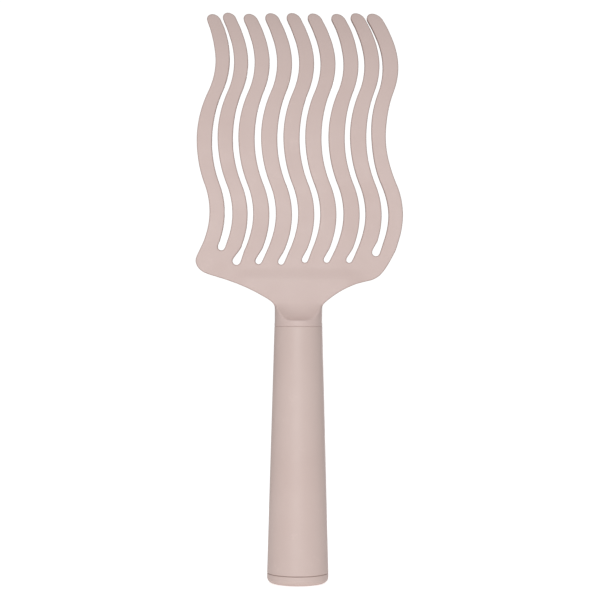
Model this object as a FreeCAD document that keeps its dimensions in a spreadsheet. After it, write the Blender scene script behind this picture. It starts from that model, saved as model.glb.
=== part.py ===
"""Flexible vented hair brush: a paddle of nine wavy arms with ball-tipped pins on a tapered handle.

Millimetres. +Z runs up the handle's axis from the flat underside of the end cap, which is the origin.
The back of the head faces -Y, the pins point to +Y and the arms stand side by side along X.
"""
import FreeCAD, Part
import Sketcher

import math
import os

Vec = FreeCAD.Vector

# ---------------------------------------------------------------- driving dimensions
SIZES = (
    # end cap
    ("cap_depth", 4.3, "height of the end cap below the handle's seam"),
    ("cap_edge_radius", 2.4, "rounding of the cap's lower edge"),
    ("cap_floor", 2.2, "thickness of the cap's floor"),
    ("skirt_height", 7.0, "skirt of the cap inside the handle"),
    ("skirt_wall", 1.6, "wall of the skirt"),
    ("rib_width", 1.2, "stiffening ribs across the cap"),
    # handle
    ("handle_base_radius", 13.3, "handle at the cap's seam"),
    ("handle_neck_radius", 10.4, "handle at the collar's seam"),
    ("handle_top", 111.4, "height of the seam between handle and collar"),
    ("handle_wall", 2.2, "wall of the handle tube"),
    ("seam_bevel", 0.25, "bevel on both sides of each seam"),
    ("web_top", 86.0, "upper face of the web that the screw bears on"),
    ("web_depth", 3.0, "thickness of that web"),
    # collar and spigot
    ("collar_radius", 10.3, "collar of the head, just above the handle"),
    ("collar_top", 121.0, "height at which the collar has run into the head"),
    ("spigot_radius", 8.0, "spigot of the head inside the handle"),
    ("spigot_foot", 86.3, "lower end of the spigot"),
    ("spigot_play", 0.05, "radial play of spigot and skirt in the handle"),
    ("key_width", 2.4, "key that stops the head turning"),
    ("key_stand", 1.0, "how far the key stands out of the spigot"),
    ("key_length", 14.0, "length of the key"),
    ("scoop_rim", 114.0, "lowest point of the scoop in the collar"),
    ("scoop_radius", 7.8, "radius of the scoop between collar and neck"),
    # head
    ("leaf_thickness", 3.0, "thickness of the arms and of the shoulder"),
    ("neck_thickness", 5.6, "thickness of the neck above the collar"),
    ("neck_width", 19.0, "width of the thick neck"),
    ("neck_run", 12.0, "height over which the neck thins out"),
    ("neck_end", 138.0, "height where the neck has thinned to the leaf"),
    ("root_height", 144.8, "height at which the free arms start"),
    ("root_gap", 0.4, "gap that separates an arm from the shoulder"),
    ("slot_width", 2.5, "width of the slots between the arms"),
    ("slot_floor", 139.7, "centre of the inner slots' round ends"),
    ("slot_floor_left", 143.6, "the same for the slot beside the first arm"),
    ("slot_floor_right", 142.9, "the same for the slot beside the last arm"),
    ("shoulder_foot", 120.4, "height at which the shoulder spreads from the collar"),
    ("right_dip_across", 30.5, "where the right shoulder's hollow flank ends"),
    ("right_dip_up", 131.3, "the same, height"),
    ("right_dip_radius", 38.0, "radius of that hollow flank"),
    ("right_corner_across", 36.3, "where the right shoulder's corner ends"),
    ("right_corner_up", 134.6, "the same, height"),
    ("right_corner_radius", 6.5, "radius of that corner"),
    ("right_side_across", 42.1, "right side of the shoulder at the arms' roots"),
    ("right_side_radius", 60.0, "radius of that side"),
    ("left_side_across", 43.2, "left side of the shoulder at the arms' roots"),
    ("left_peak_across", 44.7, "widest place of the left shoulder"),
    ("left_peak_up", 140.2, "the same, height"),
    ("left_peak_radius", 9.0, "rounding above the widest place"),
    ("left_corner_across", 40.4, "where the left shoulder's corner ends"),
    ("left_corner_up", 134.2, "the same, height"),
    ("left_corner_radius", 5.6, "radius of that corner"),
    ("left_flank_radius", 90.0, "radius of the left shoulder's hollow flank"),
    # arms
    ("arm_pitch", 9.7, "spacing of the arms"),
    ("arm_width", 7.0, "width of the inner arms, square to their run"),
    ("outer_arm_width", 6.6, "width of the first and the last arm"),
    ("outer_arm_lean", 1.25, "lean of the first and last arm towards the middle, in degrees"),
    ("crest_height", 160.0, "height of the arms' lower crest"),
    ("half_wave", 33.35, "height from a crest to the next trough"),
    ("crest_radius", 34.5, "centreline radius at a crest"),
    ("trough_radius", 54.3, "centreline radius at the trough"),
    ("wave_swing", 3.25, "distance of a crest from the arm's own axis"),
    ("hook_angle", 20.0, "slope of the straight tips, in degrees"),
    ("tip_height", 252.0, "height of the arms' tips"),
    ("curl_height", 188.0, "height above which the arms curl forwards"),
    ("curl_radius", 85.0, "radius of that curl at mid-thickness"),
    ("curl_end", 52.0, "angle at which the curled blank ends, in degrees"),
    # pins
    ("pin_first", 148.5, "height of the lowest row of pins"),
    ("pin_rows", 12, "rows of pins, one pin of each row on every arm"),
    ("pin_spacing", 8.9, "height between the rows"),
    ("pin_reach", 13.0, "length of a pin beyond the arm's face"),
    ("pin_base_radius", 1.1, "pin where it leaves the arm"),
    ("pin_neck_radius", 0.65, "pin just below its ball"),
    ("ball_radius", 1.0, "ball tip"),
    ("socket_depth", 1.6, "blind socket in the arm, below its face"),
    ("socket_radius", 0.9, "radius of the socket"),
    ("socket_play", 0.02, "radial play of the pin's root in its socket"),
    # screw and washer
    ("screw_radius", 1.5, "self-tapping screw"),
    ("thread_depth", 0.2, "half of what the screw's hole in the spigot is narrower"),
    ("screw_clearance", 0.3, "radial clearance of the screw in the web"),
    ("recess_half_width", 0.35, "half the width of the cross recess's arms"),
    ("recess_depth", 1.2, "depth of the cross recess"),
    ("screw_length", 16.0, "shank below the head"),
    ("screw_head_radius", 2.9, "pan head"),
    ("screw_head_height", 2.2, "pan head"),
    ("washer_radius", 4.5, "washer"),
    ("washer_thickness", 0.8, "washer"),
)
ARMS = 9
MIDDLE_ARM = 5

doc = FreeCAD.newDocument("vented_hair_brush")
sheet = doc.addObject("Spreadsheet::Sheet", "sizes")
for row, (alias, value, note) in enumerate(SIZES, start=1):
    sheet.set(f"A{row}", alias)
    sheet.set(f"B{row}", str(value))
    sheet.setAlias(f"B{row}", alias)
    sheet.set(f"C{row}", note)
doc.recompute()


def size(expression):
    """The value of an expression written with the sheet's names, such as 'sizes.arm_width / 2'."""
    value = sheet.evalExpression(expression)
    return float(getattr(value, "Value", value))


# ---------------------------------------------------------------- sketch helpers
def new_body(label):
    body = doc.addObject("PartDesign::Body", label + "_body")
    body.Label = label
    return body


def new_sketch(body, name, role, offset=None):
    """A sketch on one of the body's origin planes, moved along its normal by an expression if given."""
    sketch = body.newObject("Sketcher::SketchObject", name)
    sketch.AttachmentSupport = [(f, "") for f in body.Origin.OriginFeatures if f.Role == role]
    sketch.MapMode = "FlatFace"
    if offset:
        sketch.setExpression("AttachmentOffset.Base.z", offset)
    return sketch


def bind(sketch, constraint, expression=None):
    index = sketch.addConstraint(constraint)
    if expression:
        sketch.setExpression(f"Constraints[{index}]", expression)


def place(sketch, element, point, across, up):
    """Fix a point of the sketch at two expressions. A plain '0' puts it on the axis."""
    for kind, axis, expression in (("DistanceX", -2, across), ("DistanceY", -1, up)):
        if expression == "0":
            bind(sketch, Sketcher.Constraint("PointOnObject", element, point, axis))
        else:
            bind(sketch, Sketcher.Constraint(kind, -1, 1, element, point, size(expression)), expression)


def closed_outline(sketch, corners):
    """A closed loop of corners (across, up) and arcs (across, up, radius, turn).

    The third and fourth entries make the side that arrives at the corner an arc: turn is +1 for
    an arc that bends to the left on the way and -1 for one that bends to the right.
    """
    points = [Vec(size(c[0]), size(c[1]), 0) for c in corners]
    ends = []
    for index, corner in enumerate(corners):
        start, end = points[index - 1], points[index]
        if len(corner) == 2:
            element = sketch.addGeometry(Part.LineSegment(start, end))
            ends.append((element, 1, 2))
            continue
        radius, turn = size(corner[2]), corner[3]
        chord = end - start
        rise = math.sqrt(radius ** 2 - (chord.Length / 2) ** 2)
        centre = (start + end) / 2 + Vec(-chord.y, chord.x, 0).normalize() * rise * turn
        angles = [math.atan2(p.y - centre.y, p.x - centre.x) for p in (start, end)]
        if turn < 0:
            angles.reverse()
        circle = Part.Circle(centre, Vec(0, 0, 1), radius)
        element = sketch.addGeometry(Part.ArcOfCircle(circle, angles[0], angles[1]))
        bind(sketch, Sketcher.Constraint("Radius", element, radius), corner[2])
        ends.append((element, 1, 2) if turn > 0 else (element, 2, 1))
    for index, (element, _, end) in enumerate(ends):
        following, start, _ = ends[(index + 1) % len(ends)]
        bind(sketch, Sketcher.Constraint("Coincident", element, end, following, start))
        place(sketch, element, end, corners[index][0], corners[index][1])


def pad(body, name, sketch, length):
    feature = body.newObject("PartDesign::Pad", name)
    feature.Profile = sketch
    feature.SideType = "Symmetric"
    feature.setExpression("Length", length)
    return feature


def pocket_through(body, name, sketch):
    feature = body.newObject("PartDesign::Pocket", name)
    feature.Profile = sketch
    feature.SideType = "Symmetric"
    feature.Type = "ThroughAll"
    return feature


def turn_about_z(body, name, corners, kind="PartDesign::Revolution"):
    """Revolve an outline of (radius, height) corners about the body's Z axis."""
    sketch = new_sketch(body, name + "_profile", "XZ_Plane")
    closed_outline(sketch, corners)
    feature = body.newObject(kind, name)
    feature.Profile = sketch
    feature.ReferenceAxis = (sketch, ["V_Axis"])
    feature.Angle = 360
    return feature


def circle_edges(shape, radius, height):
    """Names of the circular edges of that radius, square to Z, at that height."""
    found = []
    for number, edge in enumerate(shape.Edges, start=1):
        curve = edge.Curve
        if not isinstance(curve, Part.Circle) or abs(abs(curve.Axis.z) - 1) > 1e-6:
            continue
        if abs(curve.Radius - radius) < 1e-4 and abs(curve.Center.z - height) < 1e-4:
            found.append(f"Edge{number}")
    return found


# ---------------------------------------------------------------- end cap
def make_end_cap():
    body = new_body("end_cap")
    skirt = "sizes.handle_base_radius - sizes.handle_wall - sizes.spigot_play"
    skirt_top = "sizes.cap_depth + sizes.skirt_height"
    shell = turn_about_z(body, "cap_shell", (
        ("0", "0"),
        ("sizes.handle_base_radius", "0"),
        ("sizes.handle_base_radius", "sizes.cap_depth - sizes.seam_bevel"),
        ("sizes.handle_base_radius - sizes.seam_bevel", "sizes.cap_depth"),
        (skirt, "sizes.cap_depth"),
        (skirt, skirt_top + " - 0.5"),
        (skirt + " - 0.5", skirt_top),
        (skirt + " - sizes.skirt_wall", skirt_top),
        (skirt + " - sizes.skirt_wall", "sizes.cap_floor"),
        ("0", "sizes.cap_floor"),
    ))
    doc.recompute()
    lower_edge = body.newObject("PartDesign::Fillet", "cap_lower_edge")
    lower_edge.Base = (shell, circle_edges(shell.Shape, size("sizes.handle_base_radius"), 0))
    lower_edge.setExpression("Radius", "sizes.cap_edge_radius")

    rib_sketch = new_sketch(body, "cap_rib_outline", "YZ_Plane")
    reach = skirt + " - sizes.skirt_wall / 2"
    closed_outline(rib_sketch, (
        (reach, "sizes.cap_floor - 0.5"),
        (reach, "sizes.cap_depth + 1"),
        ("-(" + reach + ")", "sizes.cap_depth + 1"),
        ("-(" + reach + ")", "sizes.cap_floor - 0.5"),
    ))
    rib = pad(body, "cap_rib", rib_sketch, "sizes.rib_width")
    doc.recompute()
    ribs = body.newObject("PartDesign::PolarPattern", "cap_ribs")
    ribs.Originals = [rib]
    ribs.Axis = (rib_sketch, ["V_Axis"])
    ribs.Angle = 180
    ribs.Occurrences = 2
    body.Tip = ribs
    return body


# ---------------------------------------------------------------- handle
def make_handle():
    body = new_body("handle_shell")
    bore = "sizes.handle_neck_radius - sizes.handle_wall - 0.9"
    web_bottom = "sizes.web_top - sizes.web_depth"
    socket = "sizes.spigot_radius + sizes.spigot_play"
    skirt_bore = "sizes.handle_base_radius - sizes.handle_wall"
    turn_about_z(body, "handle_tube", (
        (skirt_bore, "sizes.cap_depth"),
        ("sizes.handle_base_radius - sizes.seam_bevel", "sizes.cap_depth"),
        ("sizes.handle_base_radius", "sizes.cap_depth + sizes.seam_bevel"),
        ("sizes.handle_neck_radius", "sizes.handle_top - 2 * sizes.seam_bevel"),
        ("sizes.handle_neck_radius - sizes.seam_bevel", "sizes.handle_top"),
        (socket, "sizes.handle_top"),
        (socket, "sizes.web_top"),
        ("sizes.screw_radius + sizes.screw_clearance", "sizes.web_top"),
        ("sizes.screw_radius + sizes.screw_clearance", web_bottom),
        (bore, web_bottom),
        (skirt_bore, "sizes.cap_depth + sizes.skirt_height + 0.5"),
    ))
    keyway = new_sketch(body, "keyway_outline", "XY_Plane", "sizes.handle_top")
    half = "(sizes.key_width / 2 + sizes.spigot_play)"
    closed_outline(keyway, (
        (half, "0"),
        (half, socket + " + sizes.key_stand"),
        ("-" + half, socket + " + sizes.key_stand"),
        ("-" + half, "0"),
    ))
    doc.recompute()
    cut = body.newObject("PartDesign::Pocket", "keyway")
    cut.Profile = keyway
    cut.setExpression("Length", "sizes.key_length + 0.5")
    return body


# ---------------------------------------------------------------- head: shoulder, neck, collar and spigot
def slot_ends():
    """(across, up) of the round lower end of each of the eight slots, as expressions."""
    floors = ["sizes.slot_floor"] * (ARMS - 1)
    floors[0] = "sizes.slot_floor_left"
    floors[-1] = "sizes.slot_floor_right"
    ends = []
    for index, floor in enumerate(floors):
        middle = f"{index + 1.5 - MIDDLE_ARM} * sizes.arm_pitch"
        ends.append((f"{middle} + {centre_expression(floor)}", floor))
    return ends


def centre_expression(height):
    """The arms' centreline at or below the lower crest, from the arm's own axis, as an expression."""
    drop = f"sizes.crest_radius - sqrt(sizes.crest_radius ^ 2 - (sizes.crest_height - {height}) ^ 2)"
    return f"(sizes.wave_swing - ({drop}))"


def make_head():
    body = new_body("head_shoulder")
    top = "sizes.root_height - sizes.root_gap"
    outline = new_sketch(body, "shoulder_outline", "XZ_Plane")
    closed_outline(outline, (
        ("sizes.collar_radius", "sizes.scoop_rim + 2"),
        ("sizes.collar_radius", "sizes.shoulder_foot"),
        ("sizes.right_dip_across", "sizes.right_dip_up", "sizes.right_dip_radius", -1),
        ("sizes.right_corner_across", "sizes.right_corner_up", "sizes.right_corner_radius", 1),
        ("sizes.right_side_across", top, "sizes.right_side_radius", -1),
        ("-sizes.left_side_across", top),
        ("-sizes.left_peak_across", "sizes.left_peak_up", "sizes.left_peak_radius", 1),
        ("-sizes.left_corner_across", "sizes.left_corner_up", "sizes.left_corner_radius", 1),
        ("-sizes.collar_radius", "sizes.shoulder_foot", "sizes.left_flank_radius", -1),
        ("-sizes.collar_radius", "sizes.scoop_rim + 2"),
    ))
    pad(body, "shoulder", outline, "sizes.leaf_thickness")

    pilot = "sizes.screw_radius - sizes.thread_depth"
    turn_about_z(body, "collar_and_spigot", (
        (pilot, "sizes.spigot_foot"),
        ("sizes.spigot_radius - 0.5", "sizes.spigot_foot"),
        ("sizes.spigot_radius", "sizes.spigot_foot + 0.5"),
        ("sizes.spigot_radius", "sizes.handle_top"),
        ("sizes.collar_radius - sizes.seam_bevel", "sizes.handle_top"),
        ("sizes.collar_radius", "sizes.handle_top + sizes.seam_bevel"),
        ("sizes.collar_radius", "sizes.collar_top"),
        ("0", "sizes.collar_top"),
        ("0", "sizes.spigot_foot + sizes.screw_length"),
        (pilot, "sizes.spigot_foot + sizes.screw_length"),
    ))

    neck = new_sketch(body, "neck_outline", "YZ_Plane")
    closed_outline(neck, (
        ("sizes.neck_thickness / 2", "sizes.scoop_rim - 1.5"),
        ("sizes.neck_thickness / 2", "sizes.neck_end - sizes.neck_run"),
        ("sizes.leaf_thickness / 2 - 0.1", "sizes.neck_end"),
        ("-(sizes.leaf_thickness / 2 - 0.1)", "sizes.neck_end"),
        ("-sizes.neck_thickness / 2", "sizes.neck_end - sizes.neck_run"),
        ("-sizes.neck_thickness / 2", "sizes.scoop_rim - 1.5"),
    ))
    pad(body, "neck", neck, "sizes.neck_width")

    scoops = new_sketch(body, "scoop_outline", "YZ_Plane")
    reach = "(sizes.collar_radius + 2)"
    lip = "(sizes.neck_thickness / 2 + sizes.scoop_radius)"
    for side, turn in (("", 1), ("-", -1)):
        closed_outline(scoops, (
            (side + lip, "sizes.scoop_rim", "sizes.scoop_radius", turn),
            (side + reach, "sizes.scoop_rim"),
            (side + reach, "sizes.collar_top + 2"),
            (side + "(sizes.neck_thickness / 2 + 1)", "sizes.collar_top + 2"),
            (side + "sizes.neck_thickness / 2", "sizes.scoop_rim + sizes.scoop_radius"),
        ))
    pocket_through(body, "scoops", scoops)

    key = new_sketch(body, "key_outline", "XY_Plane", "sizes.handle_top - 0.5")
    half = "sizes.key_width / 2"
    closed_outline(key, (
        (half, "sizes.spigot_radius - 1"),
        (half, "sizes.spigot_radius + sizes.key_stand"),
        ("-" + half, "sizes.spigot_radius + sizes.key_stand"),
        ("-" + half, "sizes.spigot_radius - 1"),
    ))
    key_pad = body.newObject("PartDesign::Pad", "key")
    key_pad.Profile = key
    key_pad.Reversed = True
    key_pad.setExpression("Length", "sizes.key_length - 1")

    slots = new_sketch(body, "slot_outline", "XZ_Plane")
    rise = f"{top} + 1"
    for across, up in slot_ends():
        shift = f"({centre_expression(top)} - {centre_expression(up)})"
        closed_outline(slots, (
            (f"{across} + sizes.slot_width / 2", up, "0.52 * sizes.slot_width", 1),
            (f"{across} + {shift} + sizes.slot_width / 2", rise),
            (f"{across} + {shift} - sizes.slot_width / 2", rise),
            (f"{across} - sizes.slot_width / 2", up),
        ))
    pocket_through(body, "slots", slots)
    return body


# ---------------------------------------------------------------- arms
def centreline(height):
    """Sideways place of an arm's centreline at a height, from the arm's own axis."""
    crest, half_wave = size("sizes.crest_height"), size("sizes.half_wave")
    small, large = size("sizes.crest_radius"), size("sizes.trough_radius")
    swing, hook = size("sizes.wave_swing"), math.radians(size("sizes.hook_angle"))
    apart = math.sqrt((small + large) ** 2 - half_wave ** 2)
    reach = small * half_wave / (small + large)
    upper = crest + 2 * half_wave
    if height < crest + reach:
        return swing - small + math.sqrt(small ** 2 - (height - crest) ** 2)
    if height < upper - reach:
        return swing - small + apart - math.sqrt(large ** 2 - (height - crest - half_wave) ** 2)
    if height < upper + small * math.sin(hook):
        return swing - small + math.sqrt(small ** 2 - (height - upper) ** 2)
    straight = height - upper - small * math.sin(hook)
    return swing - small * (1 - math.cos(hook)) - straight * math.tan(hook)


def draw_arm_outline(sketch, width):
    """Both long sides of a wavy arm as concentric tangent arcs, closed by its round tip and its root."""
    crest, half_wave = size("sizes.crest_height"), size("sizes.half_wave")
    small, large = size("sizes.crest_radius"), size("sizes.trough_radius")
    swing, hook = size("sizes.wave_swing"), math.radians(size("sizes.hook_angle"))
    half = size(width) / 2
    root = size("sizes.root_height") - 2
    turn = math.asin(half_wave / (small + large))
    apart = math.sqrt((small + large) ** 2 - half_wave ** 2)
    low = Vec(swing - small, crest, 0)
    middle = Vec(swing - small + apart, crest + half_wave, 0)
    high = Vec(swing - small, crest + 2 * half_wave, 0)
    tip_up = size("sizes.tip_height") - half
    tip = Vec(centreline(tip_up), tip_up, 0)
    normal = Vec(math.cos(hook), math.sin(hook), 0)

    def arc(centre, radius, start, end):
        circle = Part.Circle(centre, Vec(0, 0, 1), radius)
        return sketch.addGeometry(Part.ArcOfCircle(circle, start, end))

    def line(start, end):
        return sketch.addGeometry(Part.LineSegment(start, end))

    def side(offset):
        """Crest, trough and upper crest arcs of the side that lies offset to the right."""
        root_turn = math.asin((root - crest) / (small + offset))
        return (
            arc(low, small + offset, root_turn, turn),
            arc(middle, large - offset, math.pi - turn, math.pi + turn),
            arc(high, small + offset, -turn, hook),
        )

    right = side(half)
    left = side(-half)
    right_line = line(high + normal * (small + half), tip + normal * half)
    round_tip = arc(tip, half, hook, hook + math.pi)
    left_line = line(tip - normal * half, high + normal * (small - half))
    ends = [sketch.getPoint(right[0], 1), sketch.getPoint(left[0], 1)]
    root_line = line(ends[1], ends[0])

    heights = ("sizes.crest_height", "sizes.crest_height + sizes.half_wave",
               "sizes.crest_height + 2 * sizes.half_wave")
    radii = ("sizes.crest_radius", "sizes.trough_radius", "sizes.crest_radius")
    for element, height, radius, sign in zip(right, heights, radii, ("+", "-", "+")):
        expression = f"{radius} {sign} {width} / 2"
        bind(sketch, Sketcher.Constraint("Radius", element, size(expression)), expression)
        bind(sketch, Sketcher.Constraint("DistanceY", -1, 1, element, 3, size(height)), height)
    low_across = "sizes.wave_swing - sizes.crest_radius"
    bind(sketch, Sketcher.Constraint("DistanceX", -1, 1, right[0], 3, size(low_across)), low_across)
    for outer, inner in zip(right, left):
        bind(sketch, Sketcher.Constraint("Coincident", outer, 3, inner, 3))
    for crest_arc, trough_arc, upper_arc in (right, left):
        bind(sketch, Sketcher.Constraint("Tangent", crest_arc, 2, trough_arc, 2))
        bind(sketch, Sketcher.Constraint("Tangent", trough_arc, 1, upper_arc, 1))
    bind(sketch, Sketcher.Constraint("Tangent", right[2], 2, right_line, 1))
    bind(sketch, Sketcher.Constraint("Tangent", right_line, 2, round_tip, 1))
    bind(sketch, Sketcher.Constraint("Tangent", round_tip, 2, left_line, 1))
    bind(sketch, Sketcher.Constraint("Tangent", left_line, 2, left[2], 2))
    bind(sketch, Sketcher.Constraint("Parallel", right_line, left_line))
    tilt = math.pi / 2 + hook
    bind(sketch, Sketcher.Constraint("Angle", -1, 1, right_line, 1, tilt), "90 + sizes.hook_angle")
    bind(sketch, Sketcher.Constraint("Radius", round_tip, half), f"{width} / 2")
    tip_expression = f"sizes.tip_height - {width} / 2"
    bind(sketch, Sketcher.Constraint("DistanceY", -1, 1, round_tip, 3, tip_up), tip_expression)
    bind(sketch, Sketcher.Constraint("Coincident", left[0], 1, root_line, 1))
    bind(sketch, Sketcher.Constraint("Coincident", root_line, 2, right[0], 1))
    bind(sketch, Sketcher.Constraint("Horizontal", root_line))
    bind(sketch, Sketcher.Constraint("DistanceY", -1, 1, root_line, 1, root), "sizes.root_height - 2")


def face_depth(height):
    """How far forward the front face of an arm lies at a height."""
    above = height - size("sizes.curl_height")
    inner = size("sizes.curl_radius - sizes.leaf_thickness / 2")
    if above <= 0:
        return size("sizes.leaf_thickness / 2")
    return size("sizes.curl_radius") - math.sqrt(inner ** 2 - above ** 2)


def make_arm(number):
    """One arm: a curled blank, cut to the wavy outline, with a blind socket for each pin."""
    outer = number in (1, ARMS)
    width = "sizes.outer_arm_width" if outer else "sizes.arm_width"
    body = new_body(f"arm_{number}_blank")

    blank = new_sketch(body, f"arm_{number}_side_view", "YZ_Plane")
    back = "sizes.curl_radius + sizes.leaf_thickness / 2"
    front = "sizes.curl_radius - sizes.leaf_thickness / 2"
    closed_outline(blank, (
        ("-sizes.leaf_thickness / 2", "sizes.root_height"),
        ("sizes.leaf_thickness / 2", "sizes.root_height"),
        ("sizes.leaf_thickness / 2", "sizes.curl_height"),
        (f"sizes.curl_radius - ({front}) * cos(sizes.curl_end)",
         f"sizes.curl_height + ({front}) * sin(sizes.curl_end)", front, -1),
        (f"sizes.curl_radius - ({back}) * cos(sizes.curl_end)",
         f"sizes.curl_height + ({back}) * sin(sizes.curl_end)"),
        ("-sizes.leaf_thickness / 2", "sizes.curl_height", back, 1),
    ))
    pad(body, f"arm_{number}_curl", blank, "3 * sizes.arm_width")

    waste = new_sketch(body, f"arm_{number}_front_view", "XZ_Plane")
    closed_outline(waste, (
        ("2 * sizes.arm_width", "sizes.root_height - 6"),
        ("2 * sizes.arm_width", "sizes.tip_height + 8"),
        ("-2 * sizes.arm_width", "sizes.tip_height + 8"),
        ("-2 * sizes.arm_width", "sizes.root_height - 6"),
    ))
    draw_arm_outline(waste, width)
    pocket_through(body, f"arm_{number}_waste", waste)

    lean = 0.0
    if outer:
        lean = math.copysign(math.radians(size("sizes.outer_arm_lean")), MIDDLE_ARM - number)
    across = (number - MIDDLE_ARM) * size("sizes.arm_pitch") - size("sizes.crest_height") * math.sin(lean)
    body.Placement = FreeCAD.Placement(Vec(across, 0, 0), FreeCAD.Rotation(Vec(0, 1, 0), math.degrees(lean)))
    return body


# ---------------------------------------------------------------- pins
def make_pin_blank():
    """A ball-tipped pin that stands on its root along +Z, with the arm's face at zero."""
    body = new_body("pin_blank")
    root = "sizes.socket_radius - sizes.socket_play"
    neck_up = "sizes.pin_reach - sizes.ball_radius - sqrt(sizes.ball_radius ^ 2 - sizes.pin_neck_radius ^ 2)"
    turn_about_z(body, "pin", (
        ("0", "-sizes.socket_depth + 0.1"),
        (root, "-sizes.socket_depth + 0.1"),
        (root, "0.9"),
        ("sizes.pin_base_radius", "1.1"),
        ("sizes.pin_neck_radius", neck_up),
        ("0", "sizes.pin_reach", "sizes.ball_radius", 1),
    ))
    return body


def pin_places(arm_body):
    """Foot of every pin of an arm, on the arm's front face."""
    places = []
    for row in range(int(size("sizes.pin_rows"))):
        height = size("sizes.pin_first") + row * size("sizes.pin_spacing")
        foot = Vec(centreline(height), face_depth(height), height)
        places.append(arm_body.Placement.multVec(foot))
    return places


def forward(place):
    """A placement that stands a piece drawn along +Z on a foot, pointing to +Y."""
    return FreeCAD.Placement(place, FreeCAD.Rotation(Vec(0, 0, 1), Vec(0, 1, 0)))


def make_pins(number, arm_body, pin_blank):
    pins = doc.addObject("Part::Feature", f"pins_{number}_group")
    pins.Shape = Part.makeCompound([
        pin_blank.Shape.transformed(forward(place).toMatrix()) for place in pin_places(arm_body)
    ])
    pins.Label = f"pins_{number}"
    pins.Placement = FreeCAD.Placement()
    return pins


def make_socketed_arm(number, arm_body):
    """The arm with its sockets, as a cut of the blank by a group of short cylinders."""
    radius, depth = size("sizes.socket_radius"), size("sizes.socket_depth")
    drills = doc.addObject("Part::Feature", f"arm_{number}_drills")
    drills.Shape = Part.makeCompound([
        Part.makeCylinder(radius, depth + 4, place - Vec(0, depth, 0), Vec(0, 1, 0))
        for place in pin_places(arm_body)
    ])
    arm = doc.addObject("Part::Cut", f"arm_{number}_cut")
    arm.Base = arm_body
    arm.Tool = drills
    arm.Label = f"arm_{number}"
    return arm


# ---------------------------------------------------------------- screw and washer
def make_screw():
    body = new_body("retaining_screw")
    seat = "sizes.web_top - sizes.web_depth - sizes.washer_thickness"
    turn_about_z(body, "screw_blank", (
        ("0", f"{seat} - sizes.screw_head_height"),
        ("sizes.screw_head_radius - 0.8", f"{seat} - sizes.screw_head_height"),
        ("sizes.screw_head_radius", f"{seat} - sizes.screw_head_height + 0.8", "0.8", 1),
        ("sizes.screw_head_radius", seat),
        ("sizes.screw_radius - sizes.thread_depth", seat),
        ("sizes.screw_radius - sizes.thread_depth", f"{seat} + sizes.screw_length - 1.5"),
        ("0", f"{seat} + sizes.screw_length"),
    ))
    recess = new_sketch(body, "cross_recess_outline", "XY_Plane", f"{seat} - sizes.screw_head_height")
    arm, reach = "sizes.recess_half_width", "sizes.screw_head_radius * 0.62"
    quarter = ((reach, arm), (arm, arm), (arm, reach))
    corners = []
    for turn in range(4):
        for x, y in quarter:
            corners.append(((x, y), ("-" + y, x), ("-" + x, "-" + y), (y, "-" + x))[turn])
    corners = [tuple(c.replace("--", "") for c in corner) for corner in corners]
    closed_outline(recess, corners)
    doc.recompute()
    cut = body.newObject("PartDesign::Pocket", "cross_recess")
    cut.Profile = recess
    cut.Reversed = True
    cut.setExpression("Length", "sizes.recess_depth")
    return body


def make_washer():
    disc = doc.addObject("Part::Cylinder", "washer_disc")
    disc.setExpression("Radius", "sizes.washer_radius")
    disc.setExpression("Height", "sizes.washer_thickness")
    hole = doc.addObject("Part::Cylinder", "washer_hole")
    hole.setExpression("Radius", "sizes.screw_radius + 0.2")
    hole.setExpression("Height", "sizes.washer_thickness")
    for cylinder in (disc, hole):
        cylinder.setExpression("Placement.Base.z",
                               "sizes.web_top - sizes.web_depth - sizes.washer_thickness")
    washer = doc.addObject("Part::Cut", "washer_cut")
    washer.Base = disc
    washer.Tool = hole
    washer.Label = "washer"
    return washer


# ---------------------------------------------------------------- build, test and write
nodes = [make_end_cap(), make_handle(), make_head(), make_screw(), make_washer()]
pin_blank = make_pin_blank()
arm_blanks = [make_arm(number) for number in range(1, ARMS + 1)]
doc.recompute()
for number, arm_blank in enumerate(arm_blanks, start=1):
    nodes.append(make_socketed_arm(number, arm_blank))
    nodes.append(make_pins(number, arm_blank, pin_blank))
doc.recompute()

for item in doc.Objects:
    if "Invalid" in item.State or "Error" in item.State:
        raise RuntimeError(f"{item.Name} failed: {item.State}")
for item in nodes:
    if item.Shape.isNull() or not item.Shape.isValid():
        raise RuntimeError(f"{item.Label} has no valid shape")
    for feature in getattr(item, "Group", ()):
        if feature.TypeId not in ("PartDesign::Pocket", "PartDesign::Groove"):
            continue
        if feature.Shape.Volume > feature.BaseFeature.Shape.Volume - 0.1:
            raise RuntimeError(f"{feature.Name} cuts nothing")

os.makedirs("parts", exist_ok=True)
for item in nodes:
    item.Shape.exportStep(os.path.join("parts", item.Label + ".step"))
    print(f"{item.Label}: {item.Shape.Volume:.1f} mm3, {len(item.Shape.Solids)} solid(s)")
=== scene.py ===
import math

import bmesh
import bpy
import numpy as np
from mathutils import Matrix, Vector, geometry


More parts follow.
